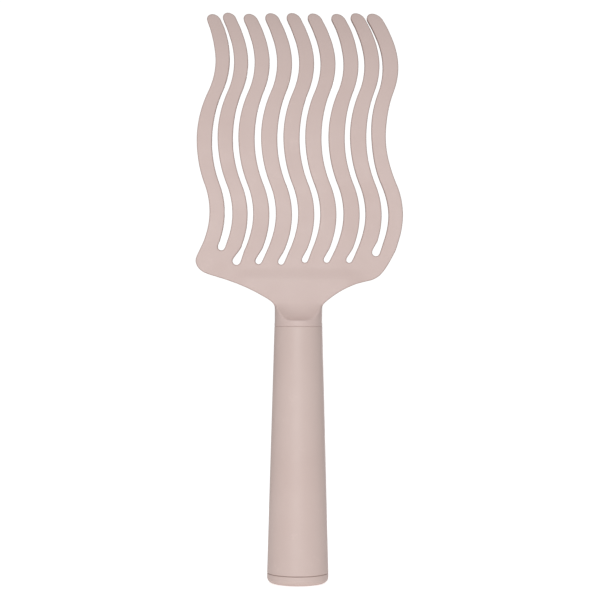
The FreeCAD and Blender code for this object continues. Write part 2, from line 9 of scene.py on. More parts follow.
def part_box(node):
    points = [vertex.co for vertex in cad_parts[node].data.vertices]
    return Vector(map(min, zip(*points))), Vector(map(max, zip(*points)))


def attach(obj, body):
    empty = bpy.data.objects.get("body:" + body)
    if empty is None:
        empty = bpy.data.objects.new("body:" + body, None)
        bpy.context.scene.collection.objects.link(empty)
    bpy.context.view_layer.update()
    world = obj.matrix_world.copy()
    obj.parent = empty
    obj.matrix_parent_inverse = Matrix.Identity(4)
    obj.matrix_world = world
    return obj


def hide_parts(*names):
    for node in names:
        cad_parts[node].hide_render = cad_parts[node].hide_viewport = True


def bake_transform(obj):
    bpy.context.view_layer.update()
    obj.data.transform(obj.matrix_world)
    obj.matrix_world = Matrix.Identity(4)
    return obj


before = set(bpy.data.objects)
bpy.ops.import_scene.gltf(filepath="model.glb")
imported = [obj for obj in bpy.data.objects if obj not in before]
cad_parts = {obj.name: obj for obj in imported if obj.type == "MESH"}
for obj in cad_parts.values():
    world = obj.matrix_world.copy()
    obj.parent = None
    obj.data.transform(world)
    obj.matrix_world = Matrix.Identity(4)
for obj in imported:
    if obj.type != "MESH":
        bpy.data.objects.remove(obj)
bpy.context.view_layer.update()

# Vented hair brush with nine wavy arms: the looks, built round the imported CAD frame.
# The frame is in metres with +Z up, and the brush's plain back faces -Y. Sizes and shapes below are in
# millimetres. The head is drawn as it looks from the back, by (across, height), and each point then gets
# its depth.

MM = 0.001


# ---------------------------------------------------------------- sizes read from the frame
def box_mm(node):
    return tuple(np.array(corner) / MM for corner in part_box(node))


handle_low, handle_high = box_mm("handle_shell")
CAP_SEAM = float(handle_low[2])           # between handle and end cap
NECK_SEAM = float(handle_high[2])         # between collar and handle
BASE_RADIUS = float(handle_high[0])
COLLAR_RADIUS = 10.3
NECK_RADIUS = 10.4                        # top of the handle
SPIGOT_RADIUS = 8.0
SPIGOT_FOOT = float(box_mm("head_shoulder")[0][2])

# ---------------------------------------------------------------- the arms
# an arm's axis at the crest, and how much it moves to the right for each millimetre above that
AXES = ((-38.75, 0.027), (-28.8, 0.0), (-19.55, 0.0), (-9.7, 0.0), (0.0, 0.0),
        (9.6, -0.003), (19.7, -0.003), (29.25, -0.008), (38.9, -0.031))
ARM_ENDS = (251.3, 252.1, 251.5, 251.9, 252.0, 251.8, 251.6, 252.0, 251.8)
TIP_SHIFTS = (0.65, 0.35, 0.4, 0.35, 0.3, 0.35, 0.8, 0.5, 0.35)   # how far right each tip is moved
# (height, width) of the arms, and of the last arm, which is the least even one
INNER_WIDTH = ((138, 7.6), (149, 7.4), (154, 7.15), (159, 7.0), (188, 6.9), (194, 7.1), (202, 7.05),
               (211, 6.8), (217, 6.6), (244, 6.55), (249, 6.3), (262, 6.3))
LAST_WIDTH = ((138, 6.3), (149, 6.5), (155, 6.2), (163, 6.3), (172, 6.8), (180, 6.65), (188, 6.05),
              (194, 6.15), (201, 6.65), (216, 6.6), (222, 6.85), (236, 6.9), (244, 7.1), (262, 7.1))
SLIM = 0.94                               # the first two arms are a little narrower than the rest
TIP_STRETCH = 1.15                        # the tips are a little longer than half circles
CREST = 160.0                             # height of the lower crest of the wave
HALF_WAVE = 33.35
SWING = 3.25
CREST_RADIUS, TROUGH_RADIUS = 34.5, 54.3
HOOK = math.radians(20)                   # slope of the straight tips
CURL_HEIGHT, CURL_RADIUS = 188.0, 85.0    # the arms curl forwards above this height
SPLIT = 148.0                             # here the shoulder's mesh ends and the arms' begin

# ---------------------------------------------------------------- the shoulder
# round lower ends of the slots between the arms: across, height, radius
SLOT_ENDS = (
    (-33.6, 145.8, 1.55), (-27.0, 139.7, 1.75), (-17.4, 139.7, 1.4), (-7.6, 139.4, 1.3),
    (2.7, 140.3, 1.3), (12.2, 140.3, 1.3), (22.0, 140.3, 1.3), (33.6, 143.6, 1.7),
)
RIGHT_SHOULDER = (
    (10.3, 119.2), (10.45, 120.3), (11.2, 121.4), (12.8, 122.8), (15.0, 124.5), (17.7, 126.3),
    (20.8, 128.0), (24.8, 129.7), (28.7, 130.8), (32.2, 131.7), (34.8, 133.2), (36.6, 135.0),
    (37.9, 136.8), (39.5, 139.4), (40.9, 142.0), (42.2, 144.6),
)
LEFT_SHOULDER = (
    (-10.3, 119.2), (-10.45, 120.3), (-11.2, 121.5), (-12.9, 122.9), (-15.6, 124.5), (-18.9, 126.3),
    (-22.4, 128.0), (-26.7, 129.8), (-31.3, 131.45), (-36.0, 132.9), (-40.0, 134.2), (-42.5, 135.6),
    (-44.1, 137.5), (-44.75, 139.6), (-44.35, 141.6), (-43.0, 144.5),
)
OVERRUN = 156.0                           # the edges are followed up to here, past SPLIT

# ---------------------------------------------------------------- depth
LEAF = 1.5                                # half the thickness of the arms and the shoulder
NECK_EXTRA = 1.3                          # what the neck has more, on each side
NECK_RUN_LOW, NECK_RUN_HIGH = 131.2, 137.4
NECK_HALF_WIDTH, NECK_FADE = 20.0, 12.0
EDGE = 0.55                               # rounding of the rims
EDGE_STEPS = 6
SCOOP_RADIUS, SCOOP_TOP, SCOOP_RIM = 7.8, 121.8, 114.0
SCOOP_BOWL = 0.034                        # its floor rises to the sides
SOFT_RIM = 0.7                            # rounding of the crease where the scoop meets the collar
COLLAR_FOOT, BAND_RISE, BAND_WIDTH = 0.2, 0.10, 1.1
PLATE_LOW, PLATE_HIGH = 117.6, 121.0      # the plate's rims grow out of the round collar between these
NO_SCOOP = 40.0                           # deeper than the collar, so the scoop cuts nothing there
COLLAR_TURNS = 72                         # segments round the collar and spigot
FINE_PITCH, FINE_TOP = 0.4, 124.0         # rows of the net on the collar, and where they end
ROW_PITCH, PLAIN_LOW = 0.85, 119.5        # rows of the net on the shoulder, and where they begin


def smooth(value):
    value = np.clip(value, 0.0, 1.0)
    return value * value * (3 - 2 * value)


def soft_min(a, b, width):
    """Smaller of both, with the crease between them rounded over that width."""
    near = np.maximum(width - np.abs(a - b), 0) / width
    return np.minimum(a, b) - near * near * width / 4


def to_space(across, height, offset):
    """Places points in space, offset forwards of the middle surface, which curls above CURL_HEIGHT.

    Across and height stay as drawn, so each outline runs straight through along Y.
    """
    above = np.maximum(height - CURL_HEIGHT, 0)
    forward = CURL_RADIUS - np.sqrt((CURL_RADIUS - offset) ** 2 - above ** 2)
    return np.stack(np.broadcast_arrays(across, forward, height), axis=-1) * MM


def wave(height):
    """Sideways place of an arm's centreline from the arm's axis: crest, trough, crest, straight tip."""
    height = np.asarray(height, float) - CREST
    low = np.maximum(-8 - height, 0)
    reach = CREST_RADIUS * HALF_WAVE / (CREST_RADIUS + TROUGH_RADIUS)
    apart = math.sqrt((CREST_RADIUS + TROUGH_RADIUS) ** 2 - HALF_WAVE ** 2)
    top = height - 2 * HALF_WAVE
    hook_start = CREST_RADIUS * math.sin(HOOK)
    crest = np.sqrt(np.maximum(CREST_RADIUS ** 2 - height ** 2, 0))
    trough = apart - np.sqrt(np.maximum(TROUGH_RADIUS ** 2 - (height - HALF_WAVE) ** 2, 0))
    upper = np.sqrt(np.maximum(CREST_RADIUS ** 2 - top ** 2, 0))
    straight = CREST_RADIUS * math.cos(HOOK) - (top - hook_start) * math.tan(HOOK)
    lower_half = np.where(height < reach, crest, trough)
    upper_half = np.where(top < hook_start, upper, straight)
    return SWING - CREST_RADIUS + np.where(top < -reach, lower_half, upper_half) + 0.004 * low ** 2


def centreline(arm, height):
    axis, lean = AXES[arm]
    above = np.asarray(height, float) - CREST
    hooked = TIP_SHIFTS[arm] * smooth((above - 72) / 12)
    hooked = hooked - 0.2 * smooth((above - 84) / 4) * smooth((92 - above) / 3.5)
    return axis + lean * np.maximum(above, 0 if lean < 0 else -40) + hooked + wave(height)


def half_width(arm, height):
    last = arm == len(AXES) - 1
    height = np.asarray(height, float)
    heights, widths = zip(*(LAST_WIDTH if last else INNER_WIDTH))
    near = np.mean([np.interp(height + shift, heights, widths) for shift in np.linspace(-4, 4, 9)], axis=0)
    slim = SLIM if arm < 2 else 1.0
    if arm == 0:
        slim = slim + (1 - SLIM) * smooth((height - 226) / 12) * smooth((251 - height) / 6)
    return near * slim / 2


def edge(arm, height, side):
    """Points of an arm's edge, side +1 for the right one and -1 for the left one."""
    return np.stack([centreline(arm, height) + side * half_width(arm, height), height], axis=-1)


# steps of the rounded edge: distance from the rim, and height above the flat wall
EDGE_ANGLES = np.linspace(0, math.pi / 2, EDGE_STEPS + 1)
EDGE_INSETS = EDGE * (1 - np.cos(EDGE_ANGLES))


def rounding(distance):
    """How much lower than the face the surface is at that distance from the rim."""
    short = np.clip(EDGE - distance, 0, EDGE)
    return EDGE - np.sqrt(EDGE ** 2 - short ** 2)


# ---------------------------------------------------------------- mesh helpers
def make_object(name, vertices, faces, rim=None):
    """A smooth-shaded mesh object from vertices in metres, with doubled points merged.

    rim is 1 at the piece's rims and 0 on its faces. The material is darker where it is higher: painted
    shade along the rims.
    """
    mesh = bpy.data.meshes.new(name)
    mesh.from_pydata([tuple(v) for v in vertices], [], faces)
    if rim is None:
        rim = np.zeros(len(vertices))
    rims = mesh.attributes.new("rim", "FLOAT", "POINT")
    rims.data.foreach_set("value", rim.astype(np.float32))
    shape = bmesh.new()
    shape.from_mesh(mesh)
    bmesh.ops.remove_doubles(shape, verts=shape.verts, dist=2e-6)
    bmesh.ops.dissolve_degenerate(shape, edges=shape.edges, dist=1e-7)
    bmesh.ops.recalc_face_normals(shape, faces=shape.faces)
    shape.to_mesh(mesh)
    shape.free()
    mesh.validate()
    mesh.shade_smooth()
    made = bpy.data.objects.new(name, mesh)
    bpy.context.scene.collection.objects.link(made)
    return made


def turned(profile, segments, axis_point=(0, 0), along="Z"):
    """Vertices and faces of a profile of (radius, place) turned round an axis, in metres."""
    angles = np.linspace(0, 2 * math.pi, segments, endpoint=False)
    vertices = []
    for radius, place in profile:
        ring = np.stack([radius * np.sin(angles), radius * np.cos(angles)], axis=-1)
        if along == "Z":
            ring = [(x, y, place) for x, y in ring]
        else:
            ring = [(axis_point[0] + x, place, axis_point[1] + z) for x, z in ring]
        vertices += ring
    faces = []
    for row in range(len(profile) - 1):
        for step in range(segments):
            here = row * segments + step
            beside = row * segments + (step + 1) % segments
            faces.append((here, beside, beside + segments, here + segments))
    return np.array(vertices) * MM, faces


def spline(points, step):
    """Centripetal Catmull-Rom curve through the points, sampled about every step."""
    points = np.array(points, float)
    points = np.vstack([2 * points[0] - points[1], points, 2 * points[-1] - points[-2]])
    curve = []
    for p0, p1, p2, p3 in zip(points, points[1:], points[2:], points[3:]):
        t1 = np.linalg.norm(p1 - p0) ** 0.5
        t2 = t1 + np.linalg.norm(p2 - p1) ** 0.5
        t3 = t2 + np.linalg.norm(p3 - p2) ** 0.5
        count = max(1, round(np.linalg.norm(p2 - p1) / step))
        for t in np.linspace(t1, t2, count, endpoint=False):
            a1 = p0 + (p1 - p0) * t / t1
            a2 = p1 + (p2 - p1) * (t - t1) / (t2 - t1)
            a3 = p2 + (p3 - p2) * (t - t2) / (t3 - t2)
            b1 = a1 + (a2 - a1) * t / t2
            b2 = a2 + (a3 - a2) * (t - t1) / (t3 - t1)
            curve.append(b1 + (b2 - b1) * (t - t1) / (t2 - t1))
    curve.append(points[-2])
    return np.array(curve)


# ---------------------------------------------------------------- arms
INNER_LANES = (2 / 3, 1 / 3, 0.0)         # shares of the half width
ARM_STEP = 1.1
TIP_STEPS = 18
WALL_STEPS = 3


def lane_offsets(half, steep):
    """Distances from the centreline of the lanes of an arm, from its edge to its middle."""
    insets = half - EDGE_INSETS / steep
    return np.concatenate([insets, insets[-1] * np.array(INNER_LANES)])


LANE_HEIGHTS = np.concatenate([LEAF - rounding(EDGE_INSETS), np.full(len(INNER_LANES), LEAF)])
# painted shade: rim values fall from 1 at the rim to 0 on the flat face
LANE_RIM_SHADE = np.concatenate([1 - smooth(EDGE_INSETS / EDGE), np.zeros(len(INNER_LANES))])


def arm_lanes(arm):
    """Points (across, height) of an arm's lanes: up its right side, round its tip, down its left side."""
    radius = float(half_width(arm, ARM_ENDS[arm] - 3.5))
    centre = ARM_ENDS[arm] - TIP_STRETCH * radius
    rows = np.linspace(SPLIT, centre, round((centre - SPLIT) / ARM_STEP))
    slope = (centreline(arm, rows + 0.05) - centreline(arm, rows - 0.05)) / 0.1
    steep = 1 / np.sqrt(1 + slope ** 2)
    offsets = np.array([lane_offsets(half, s) for half, s in zip(half_width(arm, rows), steep)])
    middle = centreline(arm, rows)[:, None]
    heights = np.repeat(rows[:, None], offsets.shape[1], 1)
    right = np.stack([middle + offsets, heights], -1)
    left = np.stack([middle - offsets, heights], -1)
    angles = np.linspace(0, math.pi, TIP_STEPS + 1)[1:-1, None]
    tip_height = centre + TIP_STRETCH * offsets[-1] * np.sin(angles)
    tip_across = centreline(arm, tip_height) + offsets[-1] * np.cos(angles)
    tip = np.stack([tip_across, tip_height], -1)
    return np.concatenate([right, tip, left[::-1]])       # step, lane, (across, height)


def make_arm(arm):
    lanes = arm_lanes(arm)
    steps, count = lanes.shape[:2]
    across, height = lanes[..., 0], lanes[..., 1]
    sides = [to_space(across, height, LANE_HEIGHTS), to_space(across, height, -LANE_HEIGHTS)]
    wall_offsets = np.linspace(LANE_HEIGHTS[0], -LANE_HEIGHTS[0], WALL_STEPS + 1)[1:-1]
    wall = to_space(across[:, :1], height[:, :1], wall_offsets)
    vertices = np.concatenate([part.reshape(-1, 3) for part in (*sides, wall)])
    size = steps * count

    def across_rim(step):
        """Vertices of one step across the arm's rim, from its front face to its back face."""
        between = [2 * size + step * (WALL_STEPS - 1) + k for k in range(WALL_STEPS - 1)]
        return [step * count, *between, size + step * count]

    faces = []
    for step in range(steps - 1):
        for lane in range(count - 1):
            here = step * count + lane
            faces.append((here, here + 1, here + count + 1, here + count))
            faces.append((size + here, size + here + count, size + here + count + 1, size + here + 1))
        rim_here, rim_next = across_rim(step), across_rim(step + 1)
        for k in range(WALL_STEPS):
            faces.append((rim_here[k], rim_next[k], rim_next[k + 1], rim_here[k + 1]))
    # rim values for painted shade: by lane on both faces, full on the side wall
    rim = np.concatenate([np.tile(LANE_RIM_SHADE, 2 * steps), np.ones(len(vertices) - 2 * size)])
    return make_object(f"wavy_arm_{arm + 1}", vertices, faces, rim)


# ---------------------------------------------------------------- shoulder, neck and collar
def collar_radius(height):
    """Radius of the collar: a rounded foot at the seam, a low band above it, then the plain collar."""
    low = np.clip(COLLAR_FOOT - (height - NECK_SEAM), 0, COLLAR_FOOT)
    band = BAND_RISE * (1 - smooth((height - NECK_SEAM - BAND_WIDTH) / 0.3))
    return COLLAR_RADIUS + band - (COLLAR_FOOT - np.sqrt(COLLAR_FOOT ** 2 - low ** 2))


def slot_chain(slot, top):
    """Left wall of a slot downwards, round its lower end, and its right wall upwards."""
    across, height, radius = SLOT_ENDS[slot]
    left_rows = np.arange(top, height + 4.4, -1.2)
    right_rows = np.arange(height + 4.0, top + 0.01, 1.2)
    right_rows = right_rows + (top - right_rows[-1])
    angles = np.radians([160, 185, 210, 235, 260, 285, 310, 332])
    end = np.stack([across + radius * np.cos(angles), height + radius * np.sin(angles)], -1)
    points = np.vstack([edge(slot, left_rows, 1), end, edge(slot + 1, right_rows, -1)])
    return spline(points, 0.45)


def shoulder_chain(points, arm, side, top):
    """A shoulder's outline from the collar up to the outer edge of its arm."""
    rows = np.arange(top, 147.5, -1.3)[::-1]
    rows = rows + (top - rows[-1])
    return spline(np.vstack([points, edge(arm, rows, side)]), 0.55)


def cut(chain):
    """The part of an open chain up to SPLIT, with its ends exactly there."""
    inside = chain[:, 1] < SPLIT - 1e-6
    first, last = np.argmax(inside), len(chain) - 1 - np.argmax(inside[::-1])
    kept = [chain[first:last + 1]]
    if first > 0:
        a, b = chain[first - 1], chain[first]
        kept.insert(0, (a + (b - a) * (SPLIT - a[1]) / (b[1] - a[1]))[None])
    if last < len(chain) - 1:
        a, b = chain[last], chain[last + 1]
        kept.append((a + (b - a) * (SPLIT - a[1]) / (b[1] - a[1]))[None])
    return np.vstack(kept)


def distance_to(points, chains):
    """Distance of each point from the nearest piece of the chains."""
    nearest = np.full(len(points), np.inf)
    for chain in chains:
        start, run = chain[:-1], np.diff(chain, axis=0)
        length = (run ** 2).sum(1)
        for begin in range(0, len(points), 2000):
            part = points[begin:begin + 2000, None] - start
            share = np.clip((part * run).sum(-1) / length, 0, 1)
            gap = np.sqrt(((part - share[..., None] * run) ** 2).sum(-1)).min(1)
            nearest[begin:begin + 2000] = np.minimum(nearest[begin:begin + 2000], gap)
    return nearest


def inside_loop(points, loop):
    """Which points lie inside a closed loop."""
    x, y = points[:, 0], points[:, 1]
    inside = np.zeros(len(points), bool)
    for (x1, y1), (x2, y2) in zip(loop, np.roll(loop, -1, 0)):
        crosses = (y1 > y) != (y2 > y)
        if crosses.any():
            inside ^= crosses & (x < x1 + (y - y1) * (x2 - x1) / (y2 - y1 if y2 != y1 else 1))
    return inside


def face_height(points, distance):
    """Half the depth of shoulder, neck and collar at each point."""
    across, height = points[:, 0], points[:, 1]
    neck = smooth((NECK_RUN_HIGH - height) / (NECK_RUN_HIGH - NECK_RUN_LOW))
    neck = neck * smooth((NECK_HALF_WIDTH + NECK_FADE - np.abs(across)) / NECK_FADE)
    rim = smooth((height - PLATE_LOW) / (PLATE_HIGH - PLATE_LOW))
    plate = rim * (LEAF + NECK_EXTRA * neck - rounding(distance))
    drop = np.clip(SCOOP_TOP - height, 0, SCOOP_RADIUS)
    scoop = LEAF + NECK_EXTRA + SCOOP_RADIUS - np.sqrt(SCOOP_RADIUS ** 2 - drop ** 2)
    scoop = scoop + SCOOP_BOWL * across ** 2 * smooth(drop / 6)
    scoop = np.where(height < SCOOP_RIM + 1e-6, NO_SCOOP, scoop)
    round_part = np.sqrt(np.maximum(collar_radius(height) ** 2 - across ** 2, 0))
    sharp = np.minimum(round_part, scoop)
    collar = np.where(round_part > 0.6, soft_min(round_part, scoop, SOFT_RIM), sharp)
    return np.maximum(np.where(height > SCOOP_TOP, 0, collar), plate)


def shoulder_outline(long_chains, left, right):
    """The closed outline of the shoulder's mesh, anticlockwise from the seam's left end.

    Also gives, for each segment, whether a rim wall stands on it, and the heights of the points where the
    arms' meshes join on.
    """
    turns = np.linspace(-math.pi / 2, math.pi / 2, COLLAR_TURNS // 2 + 1)
    seam = np.stack([collar_radius(NECK_SEAM) * np.sin(turns), np.full(len(turns), NECK_SEAM)], -1)
    collar_rows = np.unique(np.concatenate([
        NECK_SEAM + 0.3 * (1 - np.cos(np.linspace(0, math.pi / 2, 5))),
        np.arange(NECK_SEAM + 0.7, RIGHT_SHOULDER[0][1] - 0.2, FINE_PITCH),
    ]))
    side = np.stack([collar_radius(collar_rows), collar_rows], -1)[1:]
    right_edge = cut(right)
    parts = [seam, side, right_edge]
    walls = [np.zeros(len(seam) - 1), np.ones(len(side) + 1), np.ones(len(right_edge))]
    joined = {}
    for arm in reversed(range(len(AXES))):
        lanes = arm_lanes(arm)
        top = np.vstack([lanes[0][:-1], lanes[-1][::-1]])
        heights = np.concatenate([LANE_HEIGHTS[:-1], LANE_HEIGHTS[::-1]])
        parts[-1] = parts[-1][:-1]            # its last point is the arm's first one
        walls[-1] = walls[-1][:-1]
        start = sum(len(part) for part in parts)
        joined.update({start + k: height for k, height in enumerate(heights)})
        parts.append(top)
        walls.append(np.concatenate([np.zeros(len(top) - 1), [1]]))
        chain = cut(left if arm == 0 else long_chains[arm - 1])[::-1]
        parts.append(chain[1:])
        walls.append(np.ones(len(chain) - 1))
    parts.append((side * (-1, 1))[::-1])
    walls.append(np.ones(len(side)))
    return np.vstack(parts), np.concatenate(walls), joined, len(seam)


def shoulder_net(outline, rims):
    """Points inside the outline: rows along the rims, a fine net on the collar, a plain net elsewhere."""
    inner = []
    for rim in rims:
        run = np.gradient(rim, axis=0)
        normal = np.stack([-run[:, 1], run[:, 0]], -1) / np.linalg.norm(run, axis=1)[:, None]
        for inset in list(EDGE_INSETS[1:]) + [EDGE + 0.35]:
            for sign in (1, -1):
                moved = rim + sign * inset * normal
                inner.append(moved[distance_to(moved, rims) > inset - 0.01])
    turns = np.linspace(-math.pi / 2, math.pi / 2, COLLAR_TURNS // 2 + 1)[1:-1]
    for row in np.arange(NECK_SEAM + 0.15, FINE_TOP, FINE_PITCH):
        inner.append(np.stack([collar_radius(row) * np.sin(turns), np.full(len(turns), row)], -1))
    for index, row in enumerate(np.arange(PLAIN_LOW, SPLIT - 0.4, ROW_PITCH)):
        columns = np.arange(-46, 46, 1.0) + 0.5 * (index % 2)
        inner.append(np.stack([columns, np.full(len(columns), row)], -1))
    inner = np.vstack(inner)
    inner = inner[(inner[:, 1] < SPLIT - 0.25) & inside_loop(inner, outline)]
    # of points that are nearly on each other, the first one stays; the rows along the rims are closer
    taken, chosen = set(), []
    for index, (point, distance) in enumerate(zip(inner, distance_to(inner, rims))):
        pitch = 0.05 if distance < EDGE + 0.36 else 0.25
        cell = (round(point[0] / pitch), round(point[1] / pitch), pitch)
        if cell not in taken:
            taken.add(cell)
            chosen.append(index)
    inner = inner[chosen]
    return inner[distance_to(inner, [np.vstack([outline, outline[:1]])]) > 0.015]


def spigot_mesh():
    """The spigot under the collar, with the screw's hole."""
    screw_radius, screw_depth = 1.25, 14
    profile = [
        (float(collar_radius(NECK_SEAM)), NECK_SEAM), (SPIGOT_RADIUS + 0.4, NECK_SEAM),
        (SPIGOT_RADIUS, NECK_SEAM - 0.4), (SPIGOT_RADIUS, SPIGOT_FOOT + 0.6),
        (SPIGOT_RADIUS - 0.6, SPIGOT_FOOT), (screw_radius, SPIGOT_FOOT),
        (screw_radius, SPIGOT_FOOT + screw_depth), (0, SPIGOT_FOOT + screw_depth + 1),
    ]
    return turned(profile, COLLAR_TURNS)


def make_shoulder():
    long_chains = [slot_chain(slot, OVERRUN) for slot in range(len(SLOT_ENDS))]
    left = shoulder_chain(LEFT_SHOULDER, 0, -1, OVERRUN)
    right = shoulder_chain(RIGHT_SHOULDER, len(AXES) - 1, 1, OVERRUN)
    rims = long_chains + [left, right]
    outline, walls, joined, seam_count = shoulder_outline(long_chains, left, right)

    points = [Vector(p) for p in np.vstack([outline, shoulder_net(outline, rims)])]
    ring = [(k, (k + 1) % len(outline)) for k in range(len(outline))]
    made, _, triangles, origins, _, _ = geometry.delaunay_2d_cdt(points, ring, [], 1, 1e-5)
    flat = np.array([tuple(p) for p in made])
    new_index = {old: new for new, olds in enumerate(origins) for old in olds}
    distance = distance_to(flat, rims)
    height = face_height(flat, distance)
    for old, value in joined.items():
        height[new_index[old]] = value
    for old in range(seam_count):
        height[new_index[old]] = math.sqrt(max(collar_radius(NECK_SEAM) ** 2 - outline[old][0] ** 2, 0))

    count = len(flat)
    vertices = [to_space(flat[:, 0], flat[:, 1], height), to_space(flat[:, 0], flat[:, 1], -height)]
    faces = [tuple(reversed(t)) for t in triangles] + [tuple(count + v for v in t) for t in triangles]
    for k in range(len(outline)):
        a, b = new_index[k], new_index[(k + 1) % len(outline)]
        if walls[k] and a != b:
            faces.append((a, b, count + b, count + a))
    spigot, spigot_faces = spigot_mesh()
    faces += [tuple(2 * count + v for v in face) for face in spigot_faces]
    # rim values for painted shade along the shoulder's rounded rims; none on the spigot
    rim = 1 - smooth(distance / EDGE)
    rim = np.concatenate([rim, rim, np.zeros(len(spigot))])
    return make_object("shoulder_plate", np.concatenate(vertices + [spigot]), faces, rim)


# ---------------------------------------------------------------- pins
PIN_FIRST, PIN_ROWS, PIN_SPACING = 148.5, 12, 8.9
PIN_REACH = 13.0
BALL = 1.0
# (radius, distance from the arm's face) down the shaft, which starts inside the arm
PIN_SHAFT = ((0, -1.6), (1.1, -1.6), (1.1, 0.1), (0.98, 1.2), (0.9, 3.5), (0.72, 8.0))
PIN_NECK = 0.66


def pin_profile(face):
    """Profile (radius, Y) of a ball-tipped pin on an arm whose face is at that Y."""
    neck_end = face + PIN_REACH - 2 * BALL + 0.25
    profile = [(radius, face + along) for radius, along in PIN_SHAFT] + [(PIN_NECK, neck_end - 0.3)]
    centre = face + PIN_REACH - BALL
    for angle in np.radians(np.arange(-48, 91, 11.5)):
        profile.append((BALL * math.cos(angle), centre + BALL * math.sin(angle)))
    return profile


def make_pins(arm):
    vertices, faces = [], []
    for row in range(PIN_ROWS):
        height = PIN_FIRST + row * PIN_SPACING
        face = float(to_space(0.0, height, LEAF)[1]) / MM
        place = (float(centreline(arm, height)), height)
        pin, pin_faces = turned(pin_profile(face), 14, place, "Y")
        faces += [tuple(len(vertices) + v for v in corners) for corners in pin_faces]
        vertices += list(pin)
    return make_object(f"pin_row_{arm + 1}", vertices, faces)


# ---------------------------------------------------------------- handle and cap
HANDLE_TURNS = 128
SEAM_EDGE = 0.4                           # rounding of both edges at the cap's seam
SEAM_SHADE = 1.6                       # painted shade in the groove of the cap's seam, against 1 on the rims
BORE_RADIUS = SPIGOT_RADIUS + 0.05
HANDLE_WALL = 2.2
HOLLOW_WALL, HOLLOW_TOP = 2.6, 30.0       # the hollow behind the web ends there
CAP_CORNER = 2.4
CAP_RIM, CAP_RECESS = 3.9, 0.35           # the cap stands on a ring round its recessed middle
SKIRT_OUTSIDE, SKIRT_INSIDE, SKIRT_LENGTH = 2.3, 3.9, 6.8
CAP_FLOOR = 2.2


def arc_profile(centre, radius, start, end, steps):
    """Points of an arc between two angles in degrees."""
    angles = np.radians(np.linspace(start, end, steps))
    return [(centre[0] + radius * math.cos(a), centre[1] + radius * math.sin(a)) for a in angles]


def seam_groove_shade(profile, segments):
    """Rim values of a turned piece's rings: painted shade, dark in the groove between handle and cap."""
    radius, place = np.array(profile).T
    near = np.abs(place - CAP_SEAM) < SEAM_EDGE + 0.01
    return np.repeat(np.where(near, SEAM_SHADE * smooth((BASE_RADIUS - radius) / 0.2), 0), segments)


def make_handle():
    foot, top_edge = SEAM_EDGE, 0.3
    cone = [(BASE_RADIUS + (NECK_RADIUS - BASE_RADIUS) * share, CAP_SEAM + (NECK_SEAM - CAP_SEAM) * share)
            for share in np.linspace(0.01, 0.99, 60)]
    profile = [(BASE_RADIUS - HANDLE_WALL, CAP_SEAM)]
    profile += arc_profile((BASE_RADIUS - foot, CAP_SEAM + foot), foot, -90, 0, 6)
    profile += cone
    profile += arc_profile((NECK_RADIUS - top_edge, NECK_SEAM - top_edge), top_edge, 0, 90, 8)
    profile += [(BORE_RADIUS, NECK_SEAM), (BORE_RADIUS, SPIGOT_FOOT)]
    profile += [(BASE_RADIUS - HOLLOW_WALL, HOLLOW_TOP), (BASE_RADIUS - HANDLE_WALL, CAP_SEAM)]
    return make_object("tapered_handle", *turned(profile, HANDLE_TURNS), seam_groove_shade(profile, HANDLE_TURNS))


def make_cap():
    skirt_top = CAP_SEAM + SKIRT_LENGTH
    profile = [(0, CAP_RECESS), (BASE_RADIUS - CAP_RIM - 0.3, CAP_RECESS)]
    profile += arc_profile((BASE_RADIUS - CAP_RIM, CAP_RECESS), CAP_RECESS, 180, 270, 5)[1:]
    profile += arc_profile((BASE_RADIUS - CAP_CORNER, CAP_CORNER), CAP_CORNER, -90, 0, 12)
    profile += arc_profile((BASE_RADIUS - SEAM_EDGE, CAP_SEAM - SEAM_EDGE), SEAM_EDGE, 0, 90, 6)
    profile += [(BASE_RADIUS - SKIRT_OUTSIDE, CAP_SEAM), (BASE_RADIUS - SKIRT_OUTSIDE, skirt_top)]
    profile += [(BASE_RADIUS - SKIRT_INSIDE, skirt_top), (BASE_RADIUS - SKIRT_INSIDE, CAP_FLOOR)]
    profile += [(0, CAP_FLOOR)]
    return make_object("handle_end_cap", *turned(profile, HANDLE_TURNS), seam_groove_shade(profile, HANDLE_TURNS))


# ---------------------------------------------------------------- materials
RIM_SHADE = 0.45                          # share of the rims' painted shade colour where rim is 1
RIM_SHADE_TINT = (0.47, 0.35, 0.31)             # that painted shade colour, as shares of the plastic's own
